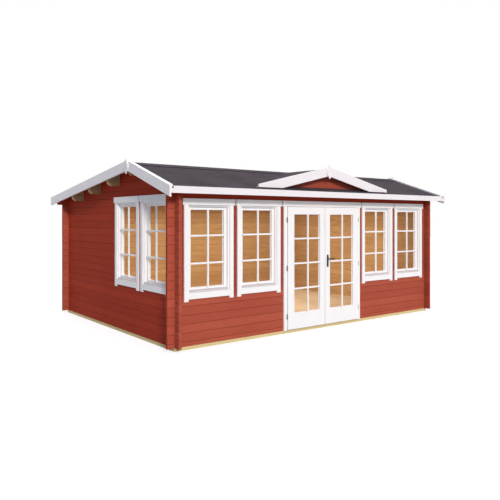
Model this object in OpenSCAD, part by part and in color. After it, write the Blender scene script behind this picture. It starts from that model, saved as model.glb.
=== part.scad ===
// Log cabin with glazed double doors and a small cross gable over them, in millimetres.
// X runs along the front, the front faces -Y, and Z = 0 is the ground under the base frame.

/* [Log walls] */
// Width of the log walls left and right of the doorway, both together, out to the side walls' faces
wall_w = 3900; // [3800:10:4760]
// Depth of the log walls, outer face to outer face
wall_d = 4000; // [3800:10:4600]
// Thickness of a wall log
log_t = 44; // [40:1:60]
// Height of one course of logs
log_h = 120; // [114:1:128]
// Length of a log end past the wall that it crosses
log_end = 110; // [80:5:160]
// Width of the bevel along each edge of a log
log_bevel = 5; // [3:0.5:8]
// Width of the tongue along the top of a log
tongue_w = 16; // [10:1:20]
// Height of the tongue along the top of a log
tongue_h = 9; // [6:1:12]
// Whole courses of the front wall under its cut top log
front_courses = 17; // [16:1:18]
// Height of the front wall's cut top log at its outer face
top_log_h = 90; // [70:1:110]

/* [Base and floor] */
// Height of the base frame's beams
base_h = 45; // [40:1:70]
// Width of the base frame's beams
base_w = 70; // [50:5:100]
// Number of floor joists between the side beams
joists = 10; // [8:1:14]
// Gap between the floor boards and the walls
floor_gap = 3; // [2:1:10]
// Thickness of the floor boards
floor_t = 19; // [16:1:28]

/* [Roof] */
// Distance of the ridge behind the front wall's face
ridge_from_front = 970; // [900:10:1100]
// Pitch of the front slope, in degrees
front_pitch = 18.4; // [16:0.1:21]
// Pitch of the rear slope, in degrees
rear_pitch = 7.6; // [6:0.1:9]
// Overhang of the roof past the front and rear walls, to the fascia's face
eave_over = 260; // [220:5:320]
// Overhang of the roof past the side walls, to the barge board's face
verge_over = 230; // [180:5:300]
// Plumb thickness of the roof boards
deck_t = 20; // [16:1:28]
// Plumb thickness of the roofing felt
felt_t = 6; // [4:1:10]
// Width of the ridge capping on each slope
ridge_cap_w = 160; // [100:5:200]
// Thickness of the ridge capping
ridge_cap_t = 4; // [3:1:8]
// Width of a purlin
purlin_w = 44; // [36:1:60]
// Height of a rear purlin
purlin_h = 180; // [150:5:200]
// Height of the ridge purlin
ridge_purlin_h = 162; // [140:2:190]
// Number of purlins under the rear slope
rear_purlin_count = 3; // [2:1:4]
// Size of the bevel at the lower corner of a purlin's end
purlin_bevel = 40; // [20:5:70]

/* [Roof edge boards] */
// Thickness of the barge boards and fascias
edge_t = 28; // [20:1:34]
// Plumb height of a barge board
barge_h = 145; // [130:1:180]
// Height of a barge board's top above the felt
barge_up = 26; // [18:1:36]
// Length of a barge board past the fascia's face
barge_past = 10; // [5:1:45]
// Height of a fascia
fascia_h = 91; // [80:1:115]
// Height of a fascia's top above the felt at its back
fascia_up = 8; // [4:1:16]
// Width of the batten that holds the felt beside a barge board
batten_w = 42; // [30:1:60]
// Width of the pointed board over a barge joint
ornament_w = 130; // [100:5:160]
// Height of the pointed board over a barge joint
ornament_h = 225; // [195:5:255]
// Thickness of the pointed board over a barge joint
ornament_t = 20; // [14:1:28]
// Height of a pointed board's tip over the barge boards' ridge
ornament_up = 28; // [15:1:40]

/* [Cross gable] */
// Half width of the cross gable at its barge boards' ends
dormer_half = 1443; // [1400:1:1520]
// Fall of the cross gable's roof for each unit of width
dormer_fall = 0.2265; // [0.21:0.0005:0.24]
// Distance of the cross gable's barge boards in front of the wall
dormer_over = 135; // [100:5:160]
// Plumb height of the cross gable's barge boards
dormer_barge_h = 147; // [135:1:175]
// Plumb thickness of the cross gable's roof boards
dormer_deck_t = 16; // [12:1:20]
// Gap between the main roof's felt and the level cut of the cross gable's barge boards
dormer_gap = 5; // [3:1:10]

/* [Windows] */
// Width of a window's hole in the logs
window_w = 700; // [660:2:720]
// Distance from one window's centre to the next
window_pitch = 886; // [880:2:920]
// Distance from the doorway's edge to the first window's centre
window_first = 518; // [504:2:540]
// Distance from the front wall's face to the first side window's centre
side_window_first = 550; // [530:2:700]
// Whole courses under a front window, above the half log
window_low = 5; // [4:1:6]
// Courses that a window's hole is high
window_rows = 11; // [9:1:11]
// Depth of a window's frame
frame_d = 86; // [70:1:110]
// Thickness of a window frame's sides
frame_side = 30; // [24:1:36]
// Thickness of a window frame's head
frame_head = 87; // [78:1:96]
// Thickness of a window frame's sill
frame_sill = 76; // [70:1:82]
// Width of a sash's stiles and rails
sash_w = 43; // [34:1:55]
// Thickness of a sash
sash_t = 46; // [38:1:54]
// Distance from a sash's inner face to its frame's inner edge
sash_inset = 4; // [0:1:10]
// Thickness of the glass
glass_t = 4; // [3:1:6]
// Distance from the middle of the glass to the inner face of its sash or leaf
glass_back = 8; // [6:1:12]

/* [Outside trim] */
// Width of a window's side boards
trim_w = 67; // [60:1:76]
// Lap of the side boards over the hole's edge
trim_lap = 9; // [4:1:18]
// Thickness of the window trim boards
trim_t = 20; // [16:1:26]
// Height of a head board
head_h = 88; // [80:1:100]
// Thickness of a head board
head_t = 28; // [22:1:36]
// Height of a head board above the hole
head_up = 20; // [12:1:24]
// Length of a head board past the side boards
head_past = 24; // [14:1:28]
// Height of a window's lower board
lower_h = 84; // [70:1:100]
// Drop of a window's lower board under the hole
lower_drop = 26; // [14:1:34]
// Drop of a window's side boards under the hole
side_drop = 58; // [42:1:72]

/* [Doors] */
// Width of the doorway in the logs
door_w = 1640; // [1600:2:1650]
// Thickness of the door frame's sides and head lining
jamb_t = 16; // [14:1:22]
// Depth of the door frame
jamb_d = 88; // [80:1:110]
// Width of the door frame's stops
stop_w = 28; // [22:1:36]
// Thickness of the door's side trim
door_trim_t = 24; // [20:1:28]
// Width of the door's side trim
door_trim_w = 59; // [52:1:66]
// Thickness of a door leaf
leaf_t = 44; // [38:1:50]
// Distance that a leaf's face stands out from the wall's face
leaf_proud = 42; // [38:1:46]
// Running gap around a door leaf
leaf_gap = 6; // [5:0.5:8]
// Gap between the two leaves
meet_gap = 10; // [8:0.5:14]
// Height of the doorway's threshold board
threshold_h = 8; // [6:1:14]
// Width of a leaf's stile beside the other leaf
stile_w = 108; // [100:1:120]
// Width of a leaf's stile at its hinges
hinge_stile_w = 129; // [118:1:138]
// Height of a leaf's bottom rail
bottom_rail = 242; // [200:2:280]
// Height of a leaf's top rail
top_rail = 114; // [95:1:130]

/* [Hinges and handle] */
// Radius of a hinge's barrel
barrel_r = 7.5; // [6:0.5:8]
// Radius of a hinge's pin
pin_r = 4; // [3:0.5:5]
// Running clearance round a hinge's pin
pin_play = 0.08; // [0.05:0.01:0.1]
// Length of a hinge
hinge_l = 77; // [60:1:100]
// Distance of a pin's top below its hinge's top
pin_below = 4; // [2:1:10]
// Gap between a hinge's barrel and the leaf's edge
hinge_side = 2.5; // [2:0.5:5]
// Gap between a hinge's barrel and the trim's face
hinge_front = 1.5; // [1:0.5:3]
// Distance of the outer hinges' middles from the leaf's ends
hinge_inset = 200; // [150:5:260]
// Width of a hinge's plate
hinge_plate_w = 34; // [26:1:40]
// Thickness of a hinge's plate
hinge_plate_t = 4; // [3.5:0.5:5]
// Radius of the stud that holds a hinge in the leaf's edge
stud_r = 3.5; // [3:0.5:4.5]
// Length of a hinge's stud from the hinge's axis
stud_l = 44; // [34:1:54]
// Distance from the leaf's edge to the handle's middle
backset = 53; // [45:1:60]
// Height of the lever above the leaf's bottom
lever_z = 1057; // [950:1:1150]
// Length of the lever's grip
lever_l = 115; // [95:1:130]
// Radius of the lever's grip
lever_r = 8; // [7:0.5:10]
// Distance of the grip's middle from the leaf's face
lever_out = 48; // [40:1:60]
// Width of a handle plate
plate_w = 34; // [28:1:40]
// Height of a handle plate
plate_h = 203; // [180:1:230]
// Thickness of a handle plate
plate_t = 8; // [6:1:10]
// Height of the lever's middle under the plate's top
plate_top = 68; // [50:1:80]

/* [Hidden] */
$fn = 48;
// Gap left at a seat, and the play of a frame in its hole
seat = 0.3;
play = 0.5;
// Reach of a cutting shape past what it cuts
past = 50;
// Least height of a top log, below which the log under it is made taller
least_log = 25;

front_y = -wall_d / 2;
rear_y = wall_d / 2;
side_x = (wall_w + door_w) / 2;
log_face = log_t / 2;

ridge_y = front_y + ridge_from_front;
front_tan = tan(front_pitch);
rear_tan = tan(rear_pitch);
ridge_z = base_h + (front_courses + 0.5) * log_h + top_log_h + ridge_from_front * front_tan;
eave_front = front_y - eave_over;
eave_rear = rear_y + eave_over;
verge_x = side_x + verge_over;
verge_in = verge_x - edge_t;
deck_front = eave_front + edge_t;
deck_rear = eave_rear - edge_t;
purlin_step = (rear_y - log_t - ridge_y) / (rear_purlin_count + 1);

hole_low = base_h + (window_low + 0.5) * log_h;
hole_top = hole_low + window_rows * log_h;
side_rise = log_h / 2;
head_low = hole_top + head_up - head_h;

jamb_x = door_w / 2 - jamb_t;
leaf_out = jamb_x - leaf_gap;
leaf_in = meet_gap / 2;
leaf_low = base_h + threshold_h + leaf_gap;
leaf_top = head_low - leaf_gap;
leaf_front = front_y - leaf_proud;
leaf_back = leaf_front + leaf_t;
trim_front = front_y - door_trim_t;
hinge_x = leaf_out + hinge_side + barrel_r;
hinge_y = trim_front - hinge_front - barrel_r;
hinge_zs = [leaf_low + hinge_inset, (leaf_low + leaf_top) / 2, leaf_top - hinge_inset];
lock_x = leaf_in + backset;
lock_z = leaf_low + lever_z;

dormer_y = front_y - dormer_over;
dormer_back = dormer_y + edge_t;
dormer_z = felt_top(dormer_back) + dormer_deck_t + felt_t + dormer_half * dormer_fall;

wall_red = "#a8503f";
trim_white = "#f4f2f0";
pine = "#d9ad74";
felt_grey = "#57525a";
beam_yellow = "#d3c283";
metal_black = "#26272b";
metal_grey = "#8f9299";

// Height of the roof boards' underside over a point at depth y
function under(y) = ridge_z - (y < ridge_y ? (ridge_y - y) * front_tan : (y - ridge_y) * rear_tan);
// Height of the felt's top over a point at depth y
function felt_top(y) = under(y) + deck_t + felt_t;
// Height of a course's lower edge: side walls start with a whole log, the others with half a log
function side_course(n) = base_h + n * log_h;
function long_course(n) = base_h + (n + 0.5) * log_h;
// Number of the last course under a roof height
function last_course(z) = ceil((z - least_log - long_course(0)) / log_h) - 1;

// A prism along X from an outline of depth and height
module along_x(x0, x1, points) {
    translate([x0, 0, 0])
        rotate([90, 0, 90])
            linear_extrude(x1 - x0)
                polygon(points);
}

// A prism along Y from an outline of width and height
module along_y(y0, y1, points) {
    translate([0, y1, 0])
        rotate([90, 0, 0])
            linear_extrude(y1 - y0)
                polygon(points);
}

module box(low, high) {
    translate(low)
        cube(high - low);
}

module both_sides() {
    children();
    mirror([1, 0, 0])
        children();
}

// Everything under the roof boards
module under_roof() {
    y0 = front_y - eave_over;
    y1 = rear_y + eave_over;
    along_x(-verge_x, verge_x, [
        [y0, 0], [y1, 0], [y1, under(y1) - seat], [ridge_y, ridge_z - seat], [y0, under(y0) - seat]]);
}

// A log across its length: bevelled edges, a tongue on top and a groove below
module log_profile(h) {
    top = h - seat;
    groove = tongue_w / 2 + play;
    depth = tongue_h + play;
    edge = log_face - log_bevel;
    polygon([
        [-edge, 0], [-groove, 0], [-groove, depth], [groove, depth], [groove, 0], [edge, 0],
        [log_face, log_bevel], [log_face, top - log_bevel], [edge, top],
        [tongue_w / 2, top], [tongue_w / 2, top + tongue_h],
        [-tongue_w / 2, top + tongue_h], [-tongue_w / 2, top],
        [-edge, top], [-log_face, top - log_bevel], [-log_face, log_bevel]]);
}

// The two notches of a log where another wall crosses it: a quarter of its height above and below
module crossing_notches(at, z, h) {
    half = log_face + seat;
    depth = log_h / 4 + seat / 2;
    translate([at - half, -log_t, z - past])
        cube([2 * half, 2 * log_t, past + depth]);
    translate([at - half, -log_t, z + log_h - depth])
        cube([2 * half, 2 * log_t, depth + h + past]);
}

// One log along X at course height z, notched where it crosses the walls at the given places
module long_log(x0, x1, z, crossings, h = log_h) {
    difference() {
        translate([x0, 0, z])
            rotate([90, 0, 90])
                linear_extrude(x1 - x0)
                    log_profile(h);
        for (x = crossings)
            crossing_notches(x, z, h);
    }
}

// The half log that starts the front and rear walls
module half_log(x0, x1, crossings) {
    difference() {
        long_log(x0, x1, long_course(-1), crossings);
        box([x0 - past, -log_t, base_h - log_h], [x1 + past, log_t, base_h]);
    }
}

// Stretches of log left between holes at the given centres, from one end to the other
function stretches(from, to, centres, half) = [
    for (i = [0 : len(centres)])
        [i == 0 ? from : centres[i - 1] + half, i == len(centres) ? to : centres[i] - half]];

side_crossing = side_x - log_face;
window_xs = [door_w / 2 + window_first, door_w / 2 + window_first + window_pitch];
side_window_ys = [front_y + side_window_first, front_y + side_window_first + window_pitch];

// The front wall beside the doorway, with its two window holes, on the right of the centre
module front_wall_half() {
    color(wall_red)
        translate([0, front_y + log_face, 0]) {
            half_log(door_w / 2, side_x + log_end, [side_crossing]);
            for (n = [0 : window_low - 1])
                difference() {
                    long_log(door_w / 2, side_x + log_end, long_course(n), [side_crossing]);
                    if (n == window_low - 1)
                        for (x = window_xs)
                            box([x - window_w / 2, -log_t, hole_low - seat],
                                [x + window_w / 2, log_t, hole_low + past]);
                }
            for (n = [window_low : window_low + window_rows - 1])
                for (s = stretches(door_w / 2, side_x + log_end, window_xs, window_w / 2))
                    long_log(s[0], s[1], long_course(n), s[1] > side_x ? [side_crossing] : []);
        }
}

module front_wall_right() {
    front_wall_half();
}

module front_wall_left() {
    mirror([1, 0, 0])
        front_wall_half();
}

// Logs over the doorway; the top one runs out to carry the roof at both verges
module front_wall_over_doors() {
    first = window_low + window_rows;
    last = last_course(under(front_y));
    color(wall_red)
        for (n = [first : last])
            let (reach = n == last ? verge_in - seat : side_x + log_end)
                intersection() {
                    translate([0, front_y + log_face, 0])
                        long_log(-reach, reach, long_course(n), [-side_crossing, side_crossing],
                            n == last ? 2 * log_h : log_h);
                    under_roof();
                }
}

module rear_wall() {
    last = last_course(under(rear_y));
    color(wall_red) {
        translate([0, rear_y - log_face, 0]) {
            half_log(-side_x - log_end, side_x + log_end, [-side_crossing, side_crossing]);
            for (n = [0 : last - 1])
                long_log(-side_x - log_end, side_x + log_end, long_course(n),
                    [-side_crossing, side_crossing]);
        }
        intersection() {
            translate([0, rear_y - log_face, 0])
                long_log(-verge_in + seat, verge_in - seat, long_course(last),
                    [-side_crossing, side_crossing], 2 * log_h);
            under_roof();
        }
    }
}

// One log along Y at course height z, between two depths
module side_log(y0, y1, z) {
    crossing = rear_y - log_face;
    rotate([0, 0, 90])
        long_log(y0, y1, z, [
            for (y = [-crossing, crossing])
                if (y > y0 && y < y1) y]);
}

// Slots through a side wall for the purlins
module purlin_slots() {
    for (i = [0 : rear_purlin_count])
        purlin_body(i, seat);
}

// What is drawn, cut to the roof and slotted for the purlins where it reaches them
module fitted_under_roof(reaches) {
    if (reaches)
        difference() {
            intersection() {
                union()
                    children();
                under_roof();
            }
            purlin_slots();
        }
    else
        children();
}

// A side wall at x = 0 with holes at the given depths, its top logs cut to the roof's slopes
module side_wall(window_ys) {
    low = front_y - log_end;
    high = rear_y + log_end;
    first = window_low + 1;
    last = floor((ridge_z - base_h - least_log) / log_h);
    roof_from = min(under(front_y - log_end), under(rear_y + log_end)) - purlin_h;
    for (n = [0 : last]) {
        z = side_course(n);
        in_rows = n >= first && n < first + window_rows;
        under_hole = n == first - 1;
        difference() {
            fitted_under_roof(z + log_h > roof_from)
                for (s = stretches(low, high, in_rows ? window_ys : [], window_w / 2))
                    side_log(s[0], s[1], z);
            if (under_hole)
                for (y = window_ys)
                    box([-log_t, y - window_w / 2, z + log_h - seat],
                        [log_t, y + window_w / 2, z + log_h + past]);
        }
    }
}

module left_wall() {
    color(wall_red)
        translate([-side_crossing, 0, 0])
            side_wall(side_window_ys);
}

module right_wall() {
    color(wall_red)
        translate([side_crossing, 0, 0])
            side_wall([]);
}

// Beams under the walls, with joists between the front and rear beams
module base_frame() {
    inner_y = wall_d / 2 - base_w - seat;
    step = (2 * side_x - base_w) / (joists + 1);
    color(beam_yellow) {
        for (y = [front_y, rear_y - base_w])
            box([-side_x, y, 0], [side_x, y + base_w, base_h]);
        for (i = [0 : joists + 1])
            translate([-side_x + i * step, 0, 0])
                box([0, -inner_y, 0], [base_w, inner_y, base_h]);
    }
}

// Floor between the walls, notched round the door frame's linings
module floor_boards() {
    inset = log_t + floor_gap;
    color(pine)
        difference() {
            box([-side_x + inset, front_y + inset, base_h + seat],
                [side_x - inset, rear_y - inset, base_h + seat + floor_t]);
            both_sides()
                box([jamb_x - stop_w - floor_gap, front_y, 0],
                    [door_w / 2 + floor_gap, front_y + jamb_d + floor_gap, base_h + floor_t + past]);
        }
}

// The space of one purlin, widened by a gap: number 0 is at the ridge, the rest stand behind it
module purlin_body(i, gap) {
    y = ridge_y + i * purlin_step;
    low = under(y) - (i == 0 ? ridge_purlin_h : purlin_h) - gap;
    end = verge_in - seat;
    along_y(y - purlin_w / 2 - gap, y + purlin_w / 2 + gap, [
        [-end, ridge_z], [-end, low + purlin_bevel], [-end + purlin_bevel, low],
        [end - purlin_bevel, low], [end, low + purlin_bevel], [end, ridge_z]]);
}

module purlin(i) {
    color(pine)
        intersection() {
            purlin_body(i, 0);
            under_roof();
        }
}

module ridge_purlin() {
    purlin(0);
}

module rear_purlins() {
    for (i = [1 : rear_purlin_count])
        purlin(i);
}

// A layer of one roof slope, between two heights above the roof boards' underside
module slope_layer(y_eave, low, high) {
    y_ridge = ridge_y + sign(y_eave - ridge_y) * seat / 2;
    along_x(-verge_in + seat, verge_in - seat, [
        [y_eave, under(y_eave) + low], [y_ridge, under(y_ridge) + low],
        [y_ridge, under(y_ridge) + high], [y_eave, under(y_eave) + high]]);
}

module front_roof_boards() {
    color(pine)
        slope_layer(deck_front + seat, 0, deck_t - seat);
}

module rear_roof_boards() {
    color(pine)
        slope_layer(deck_rear - seat, 0, deck_t - seat);
}

module front_roof_felt() {
    color(felt_grey)
        slope_layer(deck_front + seat, deck_t, deck_t + felt_t);
}

module rear_roof_felt() {
    color(felt_grey)
        slope_layer(deck_rear - seat, deck_t, deck_t + felt_t);
}

// The capping's outline over the ridge, thickened by a gap
function ridge_cap_outline(gap) = [
    let (y0 = ridge_y - ridge_cap_w, y1 = ridge_y + ridge_cap_w, top = ridge_cap_t + seat + gap)
        each [
            [y0 - gap, felt_top(y0 - gap) + seat - gap], [ridge_y, felt_top(ridge_y) + seat - gap],
            [y1 + gap, felt_top(y1 + gap) + seat - gap], [y1 + gap, felt_top(y1 + gap) + top],
            [ridge_y, felt_top(ridge_y) + top], [y0 - gap, felt_top(y0 - gap) + top]]];

module ridge_capping() {
    end = verge_in - batten_w - 2 * seat;
    color(felt_grey)
        along_x(-end, end, ridge_cap_outline(0));
}

module fascia(y0) {
    y_back = y0 < 0 ? deck_front : deck_rear;
    top = felt_top(y_back) + fascia_up;
    color(trim_white)
        box([-verge_in + seat, y0, top - fascia_h], [verge_in - seat, y0 + edge_t, top]);
}

module front_fascia() {
    fascia(eave_front);
}

module rear_fascia() {
    fascia(deck_rear);
}

// A band of one slope's verge, between two heights above the felt
module verge_band(x0, x1, y_end, low, high) {
    y_ridge = ridge_y + sign(y_end - ridge_y) * seat / 2;
    along_x(x0, x1, [
        [y_end, felt_top(y_end) + low], [y_ridge, felt_top(y_ridge) + low],
        [y_ridge, felt_top(y_ridge) + high], [y_end, felt_top(y_end) + high]]);
}

module right_barge_boards() {
    color(trim_white)
        for (y_end = [eave_front - barge_past, eave_rear + barge_past])
            verge_band(verge_in, verge_x, y_end, barge_up - barge_h, barge_up);
}

module left_barge_boards() {
    mirror([1, 0, 0])
        right_barge_boards();
}

module verge_battens() {
    color(trim_white)
        both_sides()
            for (y_end = [deck_front + seat, deck_rear - seat])
                verge_band(verge_in - batten_w - seat, verge_in - seat, y_end, seat, barge_up);
}

// Outline of the pointed board, its middle at the origin
function ornament_outline() = [
    [0, ornament_h / 2], [-ornament_w / 2, ornament_h / 12], [-ornament_w / 2, -ornament_h / 12],
    [0, -ornament_h / 2], [ornament_w / 2, -ornament_h / 12], [ornament_w / 2, ornament_h / 12]];

module apex_ornaments() {
    main_z = felt_top(ridge_y) + barge_up + ornament_up - ornament_h / 2;
    dormer_top = dormer_z + barge_up + ornament_up - ornament_h / 2;
    color(trim_white) {
        both_sides()
            translate([0, ridge_y, main_z])
                along_x(verge_x + seat, verge_x + seat + ornament_t, ornament_outline());
        translate([0, 0, dormer_top])
            along_y(dormer_y - seat - ornament_t, dormer_y - seat, ornament_outline());
    }
}

// Everything above the front slope's felt and its ridge capping
module above_front_felt() {
    y0 = front_y - eave_over - past;
    high = ridge_z + 10 * past;
    difference() {
        along_x(-side_x, side_x, [
            [y0, felt_top(y0) + seat], [ridge_y, felt_top(ridge_y) + seat], [ridge_y, high], [y0, high]]);
        along_x(-side_x - past, side_x + past, ridge_cap_outline(seat));
    }
}

// A layer of the cross gable's right slope, between two heights under its felt's top
module dormer_layer(y0, y1, from, to, low, high) {
    along_y(y0, y1, [
        [from, dormer_z - from * dormer_fall + low], [to, dormer_z - to * dormer_fall + low],
        [to, dormer_z - to * dormer_fall + high], [from, dormer_z - from * dormer_fall + high]]);
}

// Logs of the cross gable's wall, over the front wall's logs; the lowest is cut to the main roof
module cross_gable_wall() {
    low = felt_top(front_y);
    deck_low = -felt_t - dormer_deck_t - seat;
    side_z = dormer_z - dormer_half * dormer_fall + deck_low;
    first = ceil((low + least_log - long_course(1)) / log_h);
    last = floor((dormer_z + deck_low - least_log - long_course(0)) / log_h);
    color(wall_red)
        for (n = [first : last])
            intersection() {
                translate([0, front_y + log_face, 0])
                    long_log(-dormer_half, dormer_half, long_course(n == first ? n - 1 : n), [],
                        n == first ? 2 * log_h : log_h);
                above_front_felt();
                along_y(front_y - past, front_y + log_t + past, [
                    [-dormer_half, 0], [dormer_half, 0], [dormer_half, side_z],
                    [0, dormer_z + deck_low], [-dormer_half, side_z]]);
            }
}

module cross_gable_roof_boards() {
    color(pine)
        both_sides()
            intersection() {
                dormer_layer(dormer_back + seat, ridge_y, seat / 2, dormer_half,
                    -felt_t - dormer_deck_t, -felt_t - seat);
                above_front_felt();
            }
}

module cross_gable_felt() {
    color(felt_grey)
        both_sides()
            intersection() {
                dormer_layer(dormer_back + seat, ridge_y, seat / 2, dormer_half, -felt_t, 0);
                above_front_felt();
            }
}

// Barge boards of the cross gable, cut level where they meet the main roof
module cross_gable_barge_boards() {
    level = felt_top(dormer_back) + dormer_gap;
    color(trim_white)
        both_sides()
            difference() {
                dormer_layer(dormer_y, dormer_back, seat / 2, dormer_half,
                    barge_up - dormer_barge_h, barge_up);
                box([-past, dormer_y - past, level - dormer_barge_h - past],
                    [dormer_half + past, front_y, level]);
            }
}

// Side linings, head lining and the stops that the leaves close against
module door_frame() {
    stop_y = leaf_back + leaf_gap;
    rear = front_y + jamb_d;
    head_top = hole_top - play;
    color(trim_white) {
        both_sides() {
            box([jamb_x, front_y, base_h + seat], [door_w / 2 - play, rear, head_low - seat]);
            box([jamb_x - stop_w, stop_y, base_h + threshold_h + 2 * seat],
                [jamb_x - seat, rear, head_low - seat]);
        }
        box([-door_w / 2 + play, front_y, head_low], [door_w / 2 - play, rear, head_top]);
        box([-jamb_x + stop_w + seat, stop_y, head_low - stop_w],
            [jamb_x - stop_w - seat, rear, head_low - seat]);
    }
}

module door_threshold() {
    color(pine)
        box([-jamb_x + seat, trim_front, base_h + seat],
            [jamb_x - seat, front_y + log_t, base_h + seat + threshold_h]);
}

module door_trim() {
    outer = jamb_x + door_trim_w;
    color(trim_white) {
        both_sides()
            box([jamb_x, trim_front, base_h + seat], [outer, front_y - seat, head_low - seat]);
        box([-outer - head_past, front_y - head_t, head_low],
            [outer + head_past, front_y - seat, head_low + head_h]);
    }
}

// Light of a door leaf, widened by a rim
module leaf_light(y0, y1, rim) {
    box([leaf_in + stile_w - rim, y0, leaf_low + bottom_rail - rim],
        [leaf_out - hinge_stile_w + rim, y1, leaf_top - top_rail + rim]);
}

glass_y = leaf_back - glass_back;
glass_rim = 8;

// Studs of a leaf's hinges, lying along X in its edge, thicker and longer by the clearance
module hinge_studs(clear) {
    for (z = hinge_zs)
        translate([hinge_x - stud_l - clear, hinge_y, z + hinge_l / 4])
            rotate([0, 90, 0])
                cylinder(h = stud_l + clear, r = stud_r + clear);
}

module leaf() {
    difference() {
        box([leaf_in, leaf_front, leaf_low], [leaf_out, leaf_back, leaf_top]);
        leaf_light(leaf_front - past, leaf_back + past, 0);
        leaf_light(glass_y - glass_t / 2 - seat, glass_y + glass_t / 2 + seat, glass_rim + seat);
        hinge_studs(seat);
    }
}

module leaf_glass() {
    color("lightblue", 0.4)
        leaf_light(glass_y - glass_t / 2, glass_y + glass_t / 2, glass_rim);
}

module left_door() {
    color(trim_white)
        mirror([1, 0, 0])
            leaf();
}

module left_door_glass() {
    mirror([1, 0, 0])
        leaf_glass();
}

// A rod along Y at the lock's place
module lock_rod(y0, y1, r) {
    translate([lock_x, y1, lock_z])
        rotate([90, 0, 0])
            cylinder(h = y1 - y0, r = r);
}

spindle_r = 4;
spindle_gap = 1;

module right_door() {
    color(trim_white)
        difference() {
            leaf();
            lock_rod(leaf_front - past, leaf_back + past, spindle_r + spindle_gap);
        }
}

module right_door_glass() {
    leaf_glass();
}

// The fixed half of each hinge: a plate on the trim, the lower knuckle and its pin
module hinge_pins() {
    half = hinge_l / 2;
    color(metal_grey)
        both_sides()
            for (z = hinge_zs)
                union() {
                    translate([hinge_x, hinge_y, z - half])
                        cylinder(h = half - seat, r = barrel_r);
                    translate([hinge_x, hinge_y, z - half])
                        cylinder(h = hinge_l - pin_below, r = pin_r);
                    box([hinge_x, trim_front - hinge_plate_t, z - half],
                        [hinge_x + hinge_plate_w, trim_front - seat, z - seat]);
                }
}

// The turning half of each hinge: a stud in the leaf's edge and the upper knuckle round the pin
module leaf_hinges() {
    half = hinge_l / 2;
    color(metal_grey)
        difference() {
            union() {
                for (z = hinge_zs)
                    translate([hinge_x, hinge_y, z])
                        cylinder(h = half, r = barrel_r);
                hinge_studs(0);
            }
            translate([hinge_x, hinge_y, 0])
                cylinder(h = leaf_top, r = pin_r + pin_play);
        }
}

module right_door_hinges() {
    leaf_hinges();
}

module left_door_hinges() {
    mirror([1, 0, 0])
        leaf_hinges();
}

// Long plates with round ends on both faces of the leaf
module handle_plates() {
    top = lock_z + plate_top;
    r = plate_w / 2;
    color(metal_black)
        for (y = [leaf_front - plate_t, leaf_back + seat])
            difference() {
                union() {
                    box([lock_x - r, y, top - plate_h + r], [lock_x + r, y + plate_t - seat, top - r]);
                    for (z = [top - r, top - plate_h + r])
                        translate([lock_x, y + plate_t - seat, z])
                            rotate([90, 0, 0])
                                cylinder(h = plate_t - seat, r = r);
                }
                lock_rod(y - past, y + plate_t + past, lever_r + play);
            }
}

// Both grips, pointing at the hinges, on one spindle through the leaf
module door_lever() {
    front_grip = leaf_front - lever_out;
    rear_grip = leaf_back + lever_out;
    color(metal_black)
        union() {
            lock_rod(leaf_front - plate_t, leaf_back + plate_t, spindle_r);
            lock_rod(front_grip, leaf_front - spindle_gap, lever_r);
            lock_rod(leaf_back + spindle_gap, rear_grip, lever_r);
            for (y = [front_grip, rear_grip])
                translate([lock_x, y, lock_z]) {
                    sphere(r = lever_r);
                    rotate([0, 90, 0])
                        cylinder(h = lever_l, r = lever_r);
                    translate([lever_l, 0, 0])
                        sphere(r = lever_r);
                }
        }
}

// A window's pieces are drawn with the hole's foot at the origin and the wall's face at y = 0
hole_h = window_rows * log_h;
sash_half = window_w / 2 - play - frame_side - seat;
sash_low = play + frame_sill + seat;
sash_high = hole_h - play - frame_head - seat;
sash_front = frame_d - sash_t - sash_inset;

module window_frame() {
    half = window_w / 2 - play;
    color(trim_white)
        difference() {
            box([-half, 0, play], [half, frame_d, hole_h - play]);
            box([-half + frame_side, -past, play + frame_sill],
                [half - frame_side, frame_d + past, hole_h - play - frame_head]);
        }
}

module sash_light(y0, y1, rim) {
    box([-sash_half + sash_w - rim, y0, sash_low + sash_w - rim],
        [sash_half - sash_w + rim, y1, sash_high - sash_w + rim]);
}

module window_sash() {
    middle = sash_front + sash_t - glass_back;
    color(trim_white)
        difference() {
            box([-sash_half, sash_front, sash_low], [sash_half, sash_front + sash_t, sash_high]);
            sash_light(sash_front - past, sash_front + sash_t + past, 0);
            sash_light(middle - glass_t / 2 - seat, middle + glass_t / 2 + seat, glass_rim + seat);
        }
}

module window_glass() {
    middle = sash_front + sash_t - glass_back;
    color("lightblue", 0.4)
        sash_light(middle - glass_t / 2, middle + glass_t / 2, glass_rim);
}

// Head board, side boards and lower board on the wall's face
module window_trim() {
    half = window_w / 2 + trim_w - trim_lap;
    head = hole_h + head_up - head_h;
    color(trim_white) {
        box([-half - head_past, -head_t, head], [half + head_past, -seat, head + head_h]);
        both_sides()
            box([half - trim_w, -trim_t, -side_drop], [half, -seat, head - seat]);
        box([-half + trim_w + seat, -trim_t, -lower_drop],
            [half - trim_w - seat, -seat, lower_h - lower_drop]);
    }
}

module at_front_windows() {
    for (x = [-window_xs[1], -window_xs[0], window_xs[0], window_xs[1]])
        translate([x, front_y, hole_low])
            children();
}

module at_side_windows() {
    for (y = side_window_ys)
        translate([-side_x, y, hole_low + side_rise])
            rotate([0, 0, -90])
                children();
}

module front_window_frames() { at_front_windows() window_frame(); }
module front_window_sashes() { at_front_windows() window_sash(); }
module front_window_glass() { at_front_windows() window_glass(); }
module front_window_trim() { at_front_windows() window_trim(); }
module side_window_frames() { at_side_windows() window_frame(); }
module side_window_sashes() { at_side_windows() window_sash(); }
module side_window_glass() { at_side_windows() window_glass(); }
module side_window_trim() { at_side_windows() window_trim(); }

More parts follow.
